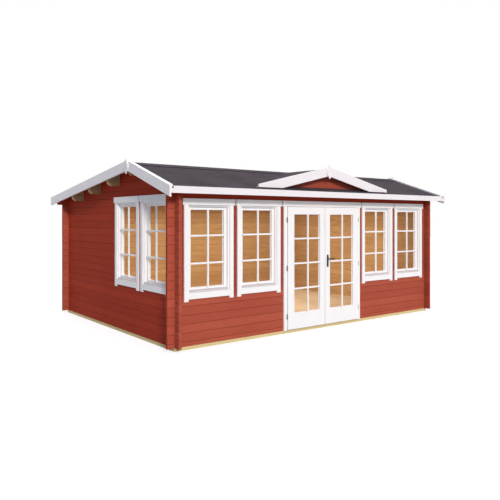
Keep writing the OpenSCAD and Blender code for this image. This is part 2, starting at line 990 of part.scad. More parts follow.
base_frame();
floor_boards();
front_wall_left();
front_wall_right();
front_wall_over_doors();
rear_wall();
left_wall();
right_wall();
ridge_purlin();
rear_purlins();
front_roof_boards();
rear_roof_boards();
front_roof_felt();
rear_roof_felt();
ridge_capping();
front_fascia();
rear_fascia();
left_barge_boards();
right_barge_boards();
verge_battens();
apex_ornaments();
cross_gable_wall();
cross_gable_roof_boards();
cross_gable_felt();
cross_gable_barge_boards();
door_frame();
door_trim();
door_threshold();
left_door();
left_door_glass();
right_door();
right_door_glass();
hinge_pins();
left_door_hinges();
right_door_hinges();
handle_plates();
door_lever();
front_window_frames();
front_window_sashes();
front_window_glass();
front_window_trim();
side_window_frames();
side_window_sashes();
side_window_glass();
side_window_trim();
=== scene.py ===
# %% [markdown]
# # A red log cabin with glazed double doors
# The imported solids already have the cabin's logs, roof, doors and windows at their real size, in
# metres. This lesson keeps those solids, gives each one a finish, and adds what a joiner fits
# last: glazing bars, putty, weather bars, boards with open joints, screws and the lock. Whatever
# is added is worked out with numpy.

import bmesh
import bpy
import numpy as np
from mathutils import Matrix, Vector


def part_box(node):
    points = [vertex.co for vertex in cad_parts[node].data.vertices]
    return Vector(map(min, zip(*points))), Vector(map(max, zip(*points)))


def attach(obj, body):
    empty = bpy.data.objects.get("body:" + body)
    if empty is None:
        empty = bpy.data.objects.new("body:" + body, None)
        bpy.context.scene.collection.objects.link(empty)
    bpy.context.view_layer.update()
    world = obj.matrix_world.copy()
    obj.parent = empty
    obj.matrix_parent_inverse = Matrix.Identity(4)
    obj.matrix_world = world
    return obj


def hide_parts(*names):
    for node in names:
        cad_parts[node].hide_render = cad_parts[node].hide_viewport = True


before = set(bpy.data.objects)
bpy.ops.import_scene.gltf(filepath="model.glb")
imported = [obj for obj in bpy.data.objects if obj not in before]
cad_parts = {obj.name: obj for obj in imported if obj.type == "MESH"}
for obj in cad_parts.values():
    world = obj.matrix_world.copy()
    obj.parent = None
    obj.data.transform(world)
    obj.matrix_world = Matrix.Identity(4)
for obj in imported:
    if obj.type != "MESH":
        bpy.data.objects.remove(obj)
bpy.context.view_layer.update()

# %% [markdown]
# ## A short way to write shader nodes
# A finish is a small network of nodes. Written by hand each node takes four or five lines, so one
# helper adds a node, sets its options and fills its inputs, where an input is either a number or
# another node's output.


# %% The node helpers
def fill_inputs(tree, made, inputs):
    """Fills a node's inputs: a number is set, another node's output is linked."""
    for key, value in inputs.items():
        if isinstance(value, bpy.types.NodeSocket):
            tree.links.new(value, made.inputs[key])
        else:
            made.inputs[key].default_value = value


def node(tree, kind, inputs=None, **options):
    """Adds one shader node: options are set on the node, then its inputs are filled."""
    made = tree.nodes.new("ShaderNode" + kind)
    for key, value in options.items():
        setattr(made, key, value)
    fill_inputs(tree, made, inputs or {})
    return made


def sums(tree, operation, a, b=0.0, clamp=False):
    """The result of one Math node on two numbers or outputs."""
    return node(tree, "Math", {0: a, 1: b}, operation=operation, use_clamp=clamp).outputs[0]


def times(tree, a, b):
    """The product of two numbers or outputs."""
    return sums(tree, "MULTIPLY", a, b)


def blend_colours(tree, factor, a, b):
    """The colour between a and b by a factor from 0 to 1."""
    return node(tree, "Mix", {0: factor, 6: a, 7: b}, data_type="RGBA").outputs[2]


def steps(tree, value, low, high, to_low=0.0, to_high=1.0):
    """A value taken from one span to another, held at the ends."""
    spans = {0: value, 1: low, 2: high, 3: to_low, 4: to_high}
    return node(tree, "MapRange", spans, clamp=True).outputs[0]


def new_finish(name):
    """An empty material with a Principled shader; returns it with its node tree and the shader."""
    finish = bpy.data.materials.new(name)
    finish.use_nodes = True
    tree = finish.node_tree
    tree.nodes.clear()
    shader = node(tree, "BsdfPrincipled")
    node(tree, "OutputMaterial", {"Surface": shader.outputs[0]})
    return finish, tree, shader


def raise_surface(tree, shader, height, distance, strength):
    """Turns a height from 0 to 1 into small relief, distance metres deep."""
    bump = node(tree, "Bump", {"Height": height, "Distance": distance, "Strength": strength})
    tree.links.new(bump.outputs[0], shader.inputs["Normal"])


print("node helpers ready")

# %% [markdown]
# ## Places and noise
# A pattern that should stay put needs coordinates that belong to the object. Every piece here sits
# at the origin, so its own coordinates are the cabin's metres. A noise whose place is squeezed on
# one axis is drawn out along it, which gives fibres, brush marks and streaks.

# %% Places and noise
NOISE_SPAN = (0.3, 0.7)  # most values of a noise lie between these


def object_place(tree):
    """A point's place in its object's own coordinates."""
    return node(tree, "TexCoord").outputs["Object"]


def axis_values(tree, vector):
    """The X, Y and Z outputs of a vector."""
    return node(tree, "SeparateXYZ", {0: vector}).outputs


def stretched(tree, place, scale):
    """A place times one scale for each axis."""
    return node(tree, "VectorMath", {0: place, 1: scale}, operation="MULTIPLY").outputs[0]


def noise(tree, place, detail, scale=1.0):
    """Noise from 0 to 1 at a place, where the scale is in repeats to the metre."""
    return node(tree, "TexNoise", {"Vector": place, "Scale": scale, "Detail": detail}).outputs[0]


def soft_noise(tree, scale, detail):
    """Noise straight on the object's own coordinates, not drawn out."""
    return noise(tree, object_place(tree), detail, scale)


def cell_draw(tree, cells):
    """One random number from 0 to 1 for each cell of a Voronoi node, the red of its colour."""
    return node(tree, "SeparateColor", {0: cells.outputs["Color"]}).outputs[0]


print("most noise lies from", *NOISE_SPAN)

# %% [markdown]
# ## Wood grain
# A board is sawn along the trunk, so its figure is drawn out lengthwise: fine fibres, wider growth
# rings in long arches, and a knot here and there. A picture of wood would do this, but it would
# show seams and repeat. Noise on the object's own coordinates has no seams. The coordinates are
# squeezed along the board, and each board is slid along by its own random length, so that
# neighbours don't share a figure.

# %% The grain of boards
AXES = {"x": 0, "y": 1, "z": 2}
# repeats to the metre, along a board and across it
FIBRES, ARCHES, KNOTS = (3.0, 260.0), (0.45, 9.0), (2.6, 8.0)
SLIDE = 37.0  # a board's figure is slid by up to this many metres
RING_TURNS = 75.0  # radians of the sine over the whole range of the arches
KNOT_RARITY, KNOT_EDGE = 0.72, (0.05, 0.16)
JOINT_EDGE, JOINT_SHADE = (0.002, 0.005), 0.40


def wood_grain(tree, along, across, pitch, start):
    """Grain of boards that run along one axis and lie side by side across another.

    board number = floor((across - start) / pitch), and a board's place is slid along by
    37 * random(board number). fibres = fine noise drawn out along the board, rings = sine of a
    smoother noise drawn out less, knots = the middles of a few drawn-out cells. joint = 0.40 within
    2 mm of the line between two boards, falling to 0 at 5 mm.
    """
    at = object_place(tree)
    parts = axis_values(tree, at)
    boards = sums(tree, "DIVIDE", sums(tree, "SUBTRACT", parts[AXES[across]], start), pitch)
    number = sums(tree, "FLOOR", boards)
    chance = node(tree, "TexWhiteNoise", {"W": number}, noise_dimensions="1D").outputs["Value"]
    shift = node(tree, "CombineXYZ", {AXES[along]: times(tree, chance, SLIDE)}).outputs[0]
    moved = node(tree, "VectorMath", {0: at, 1: shift}, operation="ADD").outputs[0]

    def drawn_out(lengthwise, sideways):
        scale = [sideways] * 3
        scale[AXES[along]] = lengthwise
        return stretched(tree, moved, scale)

    arches = noise(tree, drawn_out(*ARCHES), detail=1.5)
    wave = sums(tree, "SINE", times(tree, arches, RING_TURNS))
    cells = node(tree, "TexVoronoi", {"Vector": drawn_out(*KNOTS), "Scale": 1.0})
    rare = sums(tree, "GREATER_THAN", cell_draw(tree, cells), KNOT_RARITY)
    from_joint = sums(tree, "PINGPONG", boards, 0.5)
    joint_edge = [distance / pitch for distance in JOINT_EDGE]
    return {
        "parts": parts,
        "board": chance,
        "fibres": noise(tree, drawn_out(*FIBRES), detail=5.0),
        "rings": node(tree, "Math", {0: wave, 1: 0.5, 2: 0.5}, operation="MULTIPLY_ADD").outputs[0],
        "knots": times(tree, rare, steps(tree, cells.outputs["Distance"], *KNOT_EDGE, 1.0, 0.0)),
        "joint": steps(tree, from_joint, *joint_edge, JOINT_SHADE, 0.0),
    }


def grain_tone(tree, grain, fibres, rings, board):
    """One number from the grain: shares of the fibres, the rings and the board's own tone."""
    tone = times(tree, grain["fibres"], fibres)
    tone = sums(tree, "ADD", tone, times(tree, grain["rings"], rings))
    return sums(tree, "ADD", tone, times(tree, grain["board"], board), clamp=True)


print("grain helper ready")

# %% [markdown]
# ## Bare pine and red paint
# The logs are oiled pine inside and red outside. Two separate wall skins would have to be modelled
# for that, but one finish can do it: a point belongs to the room if it lies inside the middle of
# all four walls. The paint is thin, so the fibres still lift its surface, each log has a slightly
# different tone, and the knots show through as darker spots. Light and shade are partly painted
# into the red. Faces that look to the front or rear take a paler lit red. Faces that look left or
# right, and the logs right under the eaves, take a deeper red as painted shade. The log ends that
# stand out in front of the wall take the paler lit red, like the front. The grooves between the
# logs are darkened, partly as dirt and partly as painted shade. The front wall and the cross
# gable's wall above about 0.7 m, away from the corners and the eaves, are darkened towards the
# same dark red as painted shade. This shows mostly in the narrow strips between the trim boards.

# %% Pine colours and the log finish
PALE_PINE = (0.70, 0.455, 0.190, 1.0)
DARK_PINE = (0.50, 0.262, 0.087, 1.0)
PINE_KNOT = (0.29, 0.122, 0.038, 1.0)
# Paler reds as painted sunlight, and deeper reds of the same paint as painted shade
SUNLIT_REDS = ((0.455, 0.103, 0.060, 1.0), (0.350, 0.068, 0.040, 1.0))
SHADE_REDS = ((0.428, 0.054, 0.025, 1.0), (0.321, 0.035, 0.016, 1.0))
RED_KNOT = (0.180, 0.028, 0.018, 1.0)
# Dark red of the grooves, partly dirt and partly painted shade, also used for the painted shade on
# the front wall
DIRT_AND_SHADE_RED = (0.120, 0.016, 0.010, 1.0)
# shares of fibres, rings and board in the tone
PINE_TONE, RED_TONE = (0.55, 0.30, 0.35), (0.60, 0.15, 0.45)
PINE_KNOT_SHARE, RED_KNOT_SHARE, STRIP_SHADE_SHARE = 0.60, 0.45, 0.30
LOG_PITCH, WALL_FACE, SIDE_FACE = 0.120, -2.0, -2.77
WALL_MIDDLES = {"x": 2.748, "y": 1.978}
# Heights of the painted shade band under the eaves. Where the painted shade on the front starts,
# and how far it reaches from the middle
EAVE_SHADE_FROM, EAVE_SHADE_TO = (1.98, 2.08), (2.18, 2.22)
STRIP_SHADE_FROM, STRIP_SHADE_END = (0.62, 0.74), 2.70


def pine_colour(tree, grain, pale, dark, knot):
    """Pale wood between darker rings and fibres, with knots laid over it."""
    wood = blend_colours(tree, grain_tone(tree, grain, *PINE_TONE), pale, dark)
    return blend_colours(tree, times(tree, grain["knots"], PINE_KNOT_SHARE), wood, knot)


def red_colour(tree, grain):
    """Red paint with painted light and shade: a lit or shaded red by facing and place, with knots,
    darkened grooves and the painted shade of the strips laid over it.
    """
    across, depth, height = (grain["parts"][AXES[axis]] for axis in "xyz")
    weather = steps(tree, soft_noise(tree, scale=0.9, detail=3.0), 0.35, 0.70, -0.1, 0.2)
    tone = sums(tree, "ADD", grain_tone(tree, grain, *RED_TONE), weather, clamp=True)
    # Painted light and shade: faces that look left or right behind the wall face, and the logs
    # right under the eaves, take the deeper shaded red. All other faces take the paler lit red.
    normal = axis_values(tree, node(tree, "NewGeometry").outputs["True Normal"])
    sideways = steps(tree, sums(tree, "ABSOLUTE", normal[0]), 0.5, 0.8)
    sideways = times(tree, sideways, sums(tree, "GREATER_THAN", depth, WALL_FACE))
    eave_shade = steps(tree, height, *EAVE_SHADE_FROM)
    eave_shade = times(tree, eave_shade, steps(tree, height, *EAVE_SHADE_TO, 1.0, 0.0))
    painted_shade = sums(tree, "MAXIMUM", sideways, eave_shade)
    lit_red, shaded_red = (blend_colours(tree, tone, *reds) for reds in (SUNLIT_REDS, SHADE_REDS))
    red = blend_colours(tree, painted_shade, lit_red, shaded_red)
    red = blend_colours(tree, times(tree, grain["knots"], RED_KNOT_SHARE), red, RED_KNOT)
    # Grooves between the logs darkened, partly as dirt and partly as painted shade
    red = blend_colours(tree, grain["joint"], red, DIRT_AND_SHADE_RED)
    # Painted shade on the front and cross gable walls above about 0.7 m, away from the corners and
    # the band under the eaves. It shows mostly between the trim boards.
    strip_shade = sums(tree, "SUBTRACT", steps(tree, height, *STRIP_SHADE_FROM), eave_shade)
    strip_shade = times(tree, strip_shade, sums(tree, "LESS_THAN", depth, 0.0))
    off_corners = sums(tree, "LESS_THAN", sums(tree, "ABSOLUTE", across), STRIP_SHADE_END)
    strip_shade = times(tree, strip_shade, off_corners)
    return blend_colours(tree, times(tree, strip_shade, STRIP_SHADE_SHARE), red, DIRT_AND_SHADE_RED)


def log_finish(name, along, first_joint):
    """Red paint outside and bare pine inside, on logs that run along one axis.

    Their joints lie one log apart, from the height of the first joint upwards.
    """
    finish, tree, shader = new_finish(name)
    grain = wood_grain(tree, along, "z", LOG_PITCH, first_joint)
    room = 1.0
    for axis, middle in WALL_MIDDLES.items():
        reach = sums(tree, "ABSOLUTE", grain["parts"][AXES[axis]])
        room = times(tree, sums(tree, "LESS_THAN", reach, middle), room)
    pine = pine_colour(tree, grain, PALE_PINE, DARK_PINE, PINE_KNOT)
    # Joints of the inner pine darkened, partly as dirt and partly as painted shade
    pine = blend_colours(tree, grain["joint"], pine, PINE_KNOT)
    fill_inputs(tree, shader, {
        "Base Color": blend_colours(tree, room, red_colour(tree, grain), pine),
        "Roughness": steps(tree, grain["fibres"], *NOISE_SPAN, 0.62, 0.78),
        "Specular IOR Level": 0.06,
    })
    relief = sums(tree, "SUBTRACT", grain["fibres"], times(tree, grain["rings"], 0.12))
    raise_surface(tree, shader, relief, distance=0.0012, strength=0.6)
    return finish


long_log_paint = log_finish("red_logs_along_x", "x", 0.105)
side_log_paint = log_finish("red_logs_along_y", "y", 0.045)
print("log finishes:", long_log_paint.name, side_log_paint.name)

# %% [markdown]
# ## Boards and beams
# Floor, roof boards, purlins and base beams are bare timber. They share the grain and differ in
# direction, board width and colour: the floor is scrubbed and pale, the base beams are green-yellow
# from the preservative.

# %% Timber finishes
KNOT_DARKNESS = 0.45  # of the timber's dark tone
FLOOR_PITCH, LINING_BACK = 0.1136, -1.909
ROOF_PITCH, ROOF_SIDE = 0.1007, -2.9717


def timber_finish(name, along, across, pitch, start, pale, dark):
    """Bare timber of one colour range, with its boards side by side."""
    finish, tree, shader = new_finish(name)
    grain = wood_grain(tree, along, across, pitch, start)
    knot = tuple(KNOT_DARKNESS * v for v in dark[:3]) + (1.0,)
    fill_inputs(tree, shader, {
        "Base Color": pine_colour(tree, grain, pale, dark, knot),
        "Roughness": steps(tree, grain["fibres"], *NOISE_SPAN, 0.54, 0.70),
        "Specular IOR Level": 0.20,
    })
    raise_surface(tree, shader, grain["fibres"], distance=0.0008, strength=0.5)
    return finish


floor_pine = timber_finish("floor_pine", "x", "y", FLOOR_PITCH, LINING_BACK,
                           (0.77, 0.61, 0.39, 1), (0.60, 0.42, 0.23, 1))
roof_pine = timber_finish("roof_pine", "y", "x", ROOF_PITCH, ROOF_SIDE,
                          (0.70, 0.43, 0.18, 1), (0.52, 0.27, 0.09, 1))
purlin_pine = timber_finish("purlin_pine", "x", "y", 0.3, -2.0,
                            (0.46, 0.33, 0.19, 1), (0.32, 0.22, 0.11, 1))
treated_beam = timber_finish("treated_beam", "x", "y", 0.9, -2.4,
                             (0.76, 0.64, 0.33, 1), (0.60, 0.49, 0.23, 1))
print("timber finishes:", floor_pine.name, roof_pine.name, purlin_pine.name, treated_beam.name)

# %% [markdown]
# ## White paint
# Frames, trim and roof edges have an opaque white coat. Plain white looks like plastic, so the coat
# keeps faint brush marks, a slightly uneven gloss and a trace of dust. Marks that run both upright
# and level suit boards of either direction. The boards at the roof's edge are out in the weather
# and a little greyer.

# %% White paint
JOINERY_WHITES = ((0.870, 0.864, 0.862, 1.0), (0.800, 0.792, 0.790, 1.0))
EDGE_WHITES = ((0.808, 0.778, 0.784, 1.0), (0.738, 0.708, 0.714, 1.0))
BRUSH_STROKES = ((190.0, 190.0, 7.0), (7.0, 190.0, 190.0))  # repeats to the metre: upright, level


def brush_marks(tree):
    """Half a noise drawn out upright plus half a noise drawn out level, as a brush leaves it."""
    at = object_place(tree)
    marks = 0.0
    for scale in BRUSH_STROKES:
        one = noise(tree, stretched(tree, at, scale), detail=3.0)
        marks = sums(tree, "ADD", times(tree, one, 0.5), marks)
    return marks


def white_coat(tree, whites):
    """Colour of a white coat, clean or dusty, and its brush marks."""
    marks = brush_marks(tree)
    dust = steps(tree, soft_noise(tree, scale=5.0, detail=4.0), 0.30, 0.75, 0.15, 0.75)
    shade = times(tree, steps(tree, marks, 0.35, 0.65), dust)
    return blend_colours(tree, shade, *whites), marks


def white_finish(name, whites):
    """Opaque white paint with brush marks in its colour, gloss and relief."""
    finish, tree, shader = new_finish(name)
    colour, marks = white_coat(tree, whites)
    fill_inputs(tree, shader, {
        "Base Color": colour,
        "Roughness": steps(tree, marks, *NOISE_SPAN, 0.40, 0.56),
        "Specular IOR Level": 0.30,
    })
    raise_surface(tree, shader, marks, distance=0.0005, strength=0.5)
    return finish


white_paint = white_finish("white_paint", JOINERY_WHITES)
edge_paint = white_finish("roof_edge_paint", EDGE_WHITES)
print("white finishes:", white_paint.name, edge_paint.name)

# %% [markdown]
# ## Roofing felt
# The felt is bitumen sheet with crushed slate pressed into it. Millimetre grains glitter light and
# dark, the sheet has faint streaks along its length from rolling, and weather leaves larger soft
# patches. The sheet on the ridge is darkened along both edges as a painted shadow of its edge.

# %% Roofing felt
GRAINS, STREAKS = 420.0, (5.0, 40.0, 40.0)  # repeats to the metre
GRAIN_SHARE, STREAK_SHARE, PATCH_SHARE = 0.68, 0.32, 0.5
# Colour and inward reach of the painted shadow along the ridge sheet's edges
CAP_SHADOW_COLOUR, CAP_SHADOW_EDGE = (0.006, 0.005, 0.006, 1), (0.016, 0.010)


def felt_finish(name, dark, pale, cap_shadow_band=None):
    """Mineral felt between two greys: grains, streaks along the sheet and soft weather patches.

    Where a band is given as a middle and a half width across Y, a painted shadow of the cap's edge
    shows outside half width - 16 mm, fully from half width - 10 mm.
    """
    finish, tree, shader = new_finish(name)
    at = object_place(tree)
    grit = node(tree, "TexVoronoi", {"Vector": at, "Scale": GRAINS})
    grains = times(tree, cell_draw(tree, grit), GRAIN_SHARE)
    streaks = noise(tree, stretched(tree, at, STREAKS), detail=4.0)
    patches = sums(tree, "SUBTRACT", noise(tree, at, detail=3.0, scale=2.2), 0.5)
    streaks = times(tree, steps(tree, streaks, 0.25, 0.75), STREAK_SHARE)
    tone = sums(tree, "ADD", grains, streaks)
    tone = sums(tree, "ADD", tone, times(tree, patches, PATCH_SHARE), clamp=True)
    colour = blend_colours(tree, tone, dark, pale)
    # Painted shadow along both edges of the ridge sheet
    if cap_shadow_band:
        middle, half = cap_shadow_band
        away = sums(tree, "SUBTRACT", axis_values(tree, at)[AXES["y"]], middle)
        cap_shadow = [half - inward for inward in CAP_SHADOW_EDGE]
        cap_shadow = steps(tree, sums(tree, "ABSOLUTE", away), *cap_shadow)
        colour = blend_colours(tree, cap_shadow, colour, CAP_SHADOW_COLOUR)
    fill_inputs(tree, shader, {"Base Color": colour, "Roughness": 0.95, "Specular IOR Level": 0.05})
    raise_surface(tree, shader, grit.outputs["Distance"], distance=0.0010, strength=0.7)
    return finish


cap_low, cap_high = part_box("ridge_capping")
cap_edges = ((cap_low.y + cap_high.y) / 2, (cap_high.y - cap_low.y) / 2)
roofing_felt = felt_finish("roofing_felt", (0.016, 0.014, 0.015, 1), (0.114, 0.094, 0.109, 1))
cap_felt = felt_finish("ridge_felt", (0.022, 0.019, 0.021, 1), (0.123, 0.103, 0.118, 1), cap_edges)
print("felt finishes:", roofing_felt.name, cap_felt.name)

# %% [markdown]
# ## Glass and metal
# The panes are clear: most light passes straight through and a little is mirrored. A see-through
# share on the shader does that, and also survives the export. The hinges are zinc-plated with white
# plates, so their finish changes at the edge of the barrel. The weather bars are bare metal whose
# grey is partly painted shade for the recess under the sash, and the lock furniture is black and
# satin.


# %% Glass, zinc, bare and black metal
def mottled(tree, spots, dark, pale, smooth, rough):
    """Colour and roughness that both follow one noise."""
    return {
        "Base Color": blend_colours(tree, spots, dark, pale),
        "Roughness": steps(tree, spots, *NOISE_SPAN, smooth, rough),
    }


window_glass, tree, shader = new_finish("window_glass")
film = mottled(tree, soft_noise(tree, scale=9.0, detail=3.0),
               (0.05, 0.06, 0.06, 1), (0.10, 0.12, 0.12, 1), smooth=0.02, rough=0.08)
fill_inputs(tree, shader, {**film, "Alpha": 0.07})

HINGE_X, BARREL = 0.808, 0.0085
hinge_steel, tree, shader = new_finish("hinge_steel")
from_middle = sums(tree, "ABSOLUTE", axis_values(tree, object_place(tree))[AXES["x"]])
off_axis = sums(tree, "ABSOLUTE", sums(tree, "SUBTRACT", from_middle, HINGE_X))
barrel = sums(tree, "LESS_THAN", off_axis, BARREL)
zinc = mottled(tree, soft_noise(tree, scale=240.0, detail=3.0),
               (0.07, 0.07, 0.08, 1), (0.16, 0.16, 0.18, 1), smooth=0.30, rough=0.48)
plates = white_coat(tree, JOINERY_WHITES)[0]
zinc["Base Color"] = blend_colours(tree, barrel, plates, zinc["Base Color"])
fill_inputs(tree, shader, {**zinc, "Metallic": times(tree, barrel, 0.60)})

bare_metal, tree, shader = new_finish("weather_bar_metal")
# Bare metal grey, partly painted shade for the recess under the sash
metal_and_shade_grey = mottled(tree, soft_noise(tree, scale=60.0, detail=4.0),
                 (0.53, 0.49, 0.50, 1), (0.65, 0.60, 0.61, 1), smooth=0.42, rough=0.60)
fill_inputs(tree, shader, {**metal_and_shade_grey, "Metallic": 0.25})

handle_metal, tree, shader = new_finish("handle_metal")
grip = soft_noise(tree, scale=700.0, detail=2.0)
satin = mottled(tree, grip, (0.016, 0.016, 0.018, 1), (0.034, 0.034, 0.038, 1),
                smooth=0.30, rough=0.46)
fill_inputs(tree, shader, {**satin, "Metallic": 0.5})
raise_surface(tree, shader, grip, distance=0.0002, strength=0.4)
print("made", window_glass.name, hinge_steel.name, bare_metal.name, handle_metal.name)

# %% [markdown]
# ## Dress the solids
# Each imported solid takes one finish. Walls that run left to right need the grain along X, gable
# walls along Y.

# %% One finish for each solid
FINISH_OF = {
    long_log_paint: """front_wall_left front_wall_right front_wall_over_doors rear_wall
        cross_gable_wall""",
    side_log_paint: "left_wall right_wall",
    white_paint: """door_frame door_trim left_door right_door
        front_window_frames front_window_sashes front_window_trim
        side_window_frames side_window_sashes side_window_trim""",
    edge_paint: """front_fascia rear_fascia left_barge_boards right_barge_boards verge_battens
        apex_ornaments cross_gable_barge_boards cross_gable_roof_boards""",
    floor_pine: "floor_boards door_threshold",
    roof_pine: "front_roof_boards rear_roof_boards",
    purlin_pine: "ridge_purlin rear_purlins",
    treated_beam: "base_frame",
    roofing_felt: "front_roof_felt rear_roof_felt cross_gable_felt",
    cap_felt: "ridge_capping",
    window_glass: "left_door_glass right_door_glass front_window_glass side_window_glass",
    hinge_steel: "hinge_pins left_door_hinges right_door_hinges",
    handle_metal: "handle_plates door_lever",
}
dressed = []
for finish, names in FINISH_OF.items():
    for name in names.split():
        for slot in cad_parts[name].material_slots:
            slot.material = finish
        dressed.append(name)
print(len(dressed), "solids dressed, left out:", sorted(set(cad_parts) - set(dressed)))

# %% [markdown]
# ## Profiles carried along paths
# A joiner runs a moulding through a cutter and then cuts it to length, or mitres it round a frame.
# The same idea makes every stick of timber here: a closed outline is carried along the points of a
# path. The whole grid of points comes from one sum of arrays, and the quads between neighbours from
# one array of numbers.

# %% Grids of points and their faces
X, Y, Z = np.eye(3)


def tube_faces(rows, columns, ring=False):
    """Corner numbers of the faces of a grid whose columns close into a tube, as whole arrays.

    Each quad joins a point to its neighbours in the next row and column. An open tube gets a flat
    face at both ends, and a ring joins its last row to its first instead.
    """
    number = np.arange(rows * columns).reshape(rows, columns)
    tube = np.hstack([number, number[:, :1]])
    if ring:
        tube = np.vstack([tube, tube[:1]])
    quads = np.stack([tube[:-1, :-1], tube[1:, :-1], tube[1:, 1:], tube[:-1, 1:]], axis=-1)
    quads = quads.reshape(-1, 4)
    return [quads] if ring else [quads, number[[0, -1]]]


def carried(centres, sides, outs, profile, ring=False):
    """Point (i, j) = centre i + first of profile j * side i + second of profile j * out i."""
    centres, sides, outs = (np.asarray(v, float)[:, None] for v in (centres, sides, outs))
    points = centres + profile[:, :1] * sides + profile[:, 1:] * outs
    return points.reshape(-1, 3), tube_faces(*points.shape[:2], ring)


def straight(start, end, side, out, profile):
    """A profile carried from one point straight to another."""
    return carried([start, end], [side, side], [out, out], profile)


print("a ring of 4 by 4 points has", len(tube_faces(4, 4, ring=True)[0]), "quads")


# %% From shells to a piece
def in_scene(name, data):
    """A new object at the origin that shows some data."""
    made = bpy.data.objects.new(name, data)
    bpy.context.scene.collection.objects.link(made)
    return made


def make_piece(name, shells, finish, body):
    """Joins closed shells into one piece, turns its faces outwards, and lets it ride on a body."""
    starts = np.cumsum([0] + [len(points) for points, _ in shells])
    grids = [grid + start for start, (_, part) in zip(starts, shells) for grid in part]
    faces = [face for grid in grids for face in grid.tolist()]
    mesh = bpy.data.meshes.new(name)
    mesh.from_pydata(np.vstack([points for points, _ in shells]), [], faces)
    shaped = bmesh.new()
    shaped.from_mesh(mesh)
    bmesh.ops.recalc_face_normals(shaped, faces=shaped.faces)
    shaped.to_mesh(mesh)
    shaped.free()
    mesh.materials.append(finish)
    piece = in_scene(name, mesh)
    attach(piece, body)
    print(name, "made of", len(shells), "shells,", len(faces), "faces, on", body)
    return piece


# %% [markdown]
# ## Glazing bars and putty
# Every light is one pane. A lattice of bars lies over it on the outer face of the sash, its ends
# lapping the stiles and rails: one upright and two level bars in a window, one upright and three
# level bars in a door. A bar is rounded towards the viewer, so it catches the light along its
# edges. Modelled flat it would look like a printed line. Round the light, a thin wedge of putty
# holds the glass, mitred at the corners.

# %% Outlines of the bar and the putty
BAR_W, BAR_D, BAR_LAP, BAR_BITE = 0.0265, 0.020, 0.012, 0.003
ROUND_W, ROUND_D = 0.005, 0.006
PUTTY = 0.005
turn = np.linspace(0.0, np.pi / 2, 5)
half_bar = np.column_stack([BAR_W / 2 - ROUND_W * (1 - np.cos(turn)),
                            BAR_D - ROUND_D + ROUND_D * np.sin(turn)])
bar_profile = np.vstack([[[BAR_W / 2, 0.0]], half_bar, half_bar[::-1] * [-1, 1],
                         [[-BAR_W / 2, 0.0]]])
putty_profile = PUTTY * np.array([[0.0, 0.0], [1.0, 0.0], [0.55, 0.7], [0.0, 1.0]])
print("bar outline of", len(bar_profile), "points, putty outline of", len(putty_profile))


# %% Lattice and putty of one light
def lattice(centre, across, out, half, low, high, levels):
    """Bars on one face: the upright in the middle runs through, level bars stop at its sides.

    All ends lap the frame. A level bar reaches from inset to half + lap on each side of the middle,
    where inset is the upright's half width less the 3 mm by which the bars bite into each other.
    """
    inset, reach = BAR_W / 2 - BAR_BITE, half + BAR_LAP
    foot, head = centre + (low - BAR_LAP) * Z, centre + (high + BAR_LAP) * Z
    shells = [straight(foot, head, across, out, bar_profile)]
    for height in levels:
        for side in (-across, across):
            level = centre + height * Z
            bar = straight(level + inset * side, level + reach * side, Z, out, bar_profile)
            shells.append(bar)
    return shells


def putty(glass, across, out, half, low, high):
    """A mitred ring of putty on the outer face of the glass.

    Its corners are the light's corners, and its inward direction at each is the sum of the two unit
    steps into the light.
    """
    signs = np.array([[-1, -1], [1, -1], [1, 1], [-1, 1]])
    heights = np.where(signs[:, 1:] < 0, low, high)
    corners = glass + signs[:, :1] * half * across + heights * Z
    inwards = -signs[:, :1] * across - signs[:, 1:] * Z
    return [carried(corners, inwards, np.tile(out, (4, 1)), putty_profile, ring=True)]


sample = lattice(0 * Z, X, -Y, 0.3, 0.0, 1.0, levels=(0.3, 0.6))
print("a light with two levels of bars takes", len(sample), "lengths of bar")

# %% Lattices of the windows
SASH_SET, GLASS_SET = 0.0357, 0.0720
WINDOW_LIGHT = (0.2762, 0.8248, 1.8942)  # half width, foot and head
WINDOW_BARS = (1.1560, 1.5365)
SIDE_RISE = 0.060
front_windows = [(np.array([x, WALL_FACE, 0.0]), X, -Y) for x in (-2.224, -1.338, 1.338, 2.224)]
side_windows = [(np.array([SIDE_FACE, y, SIDE_RISE]), Y, -X) for y in (-1.450, -0.564)]
for side, windows in (("front", front_windows), ("side", side_windows)):
    shells = []
    for middle, across, out in windows:
        shells += lattice(middle - SASH_SET * out, across, out, *WINDOW_LIGHT, WINDOW_BARS)
        shells += putty(middle - GLASS_SET * out, across, out, *WINDOW_LIGHT)
    make_piece(side + "_window_bars", shells, white_paint, "house")

# %% Lattices of the two doors
LEAF_FACE, LEAF_GLASS, LEAF_MIDDLE = -2.0423, -2.0080, 0.391
DOOR_LIGHT = (0.278, 0.301, 1.837)  # half width, foot and head
DOOR_BARS = (0.684, 1.0735, 1.4576)
for side, sign in (("left", -1), ("right", 1)):
    middle = sign * LEAF_MIDDLE * X
    shells = lattice(middle + LEAF_FACE * Y, X, -Y, *DOOR_LIGHT, DOOR_BARS)
    shells += putty(middle + LEAF_GLASS * Y, X, -Y, *DOOR_LIGHT)
    make_piece(side + "_door_bars", shells, white_paint, side + "_leaf")

# %% [markdown]
# ## Weather bars
# Rain runs down a sash, so a drawn metal bar lies over the frame's sill and throws the water clear
# of it. Its outline slopes from the sash to a rounded nose and hangs down in front of the sill. The
# same outline is carried along the foot of each window. Its grey finish is partly painted shade for
# the recess under the sash.

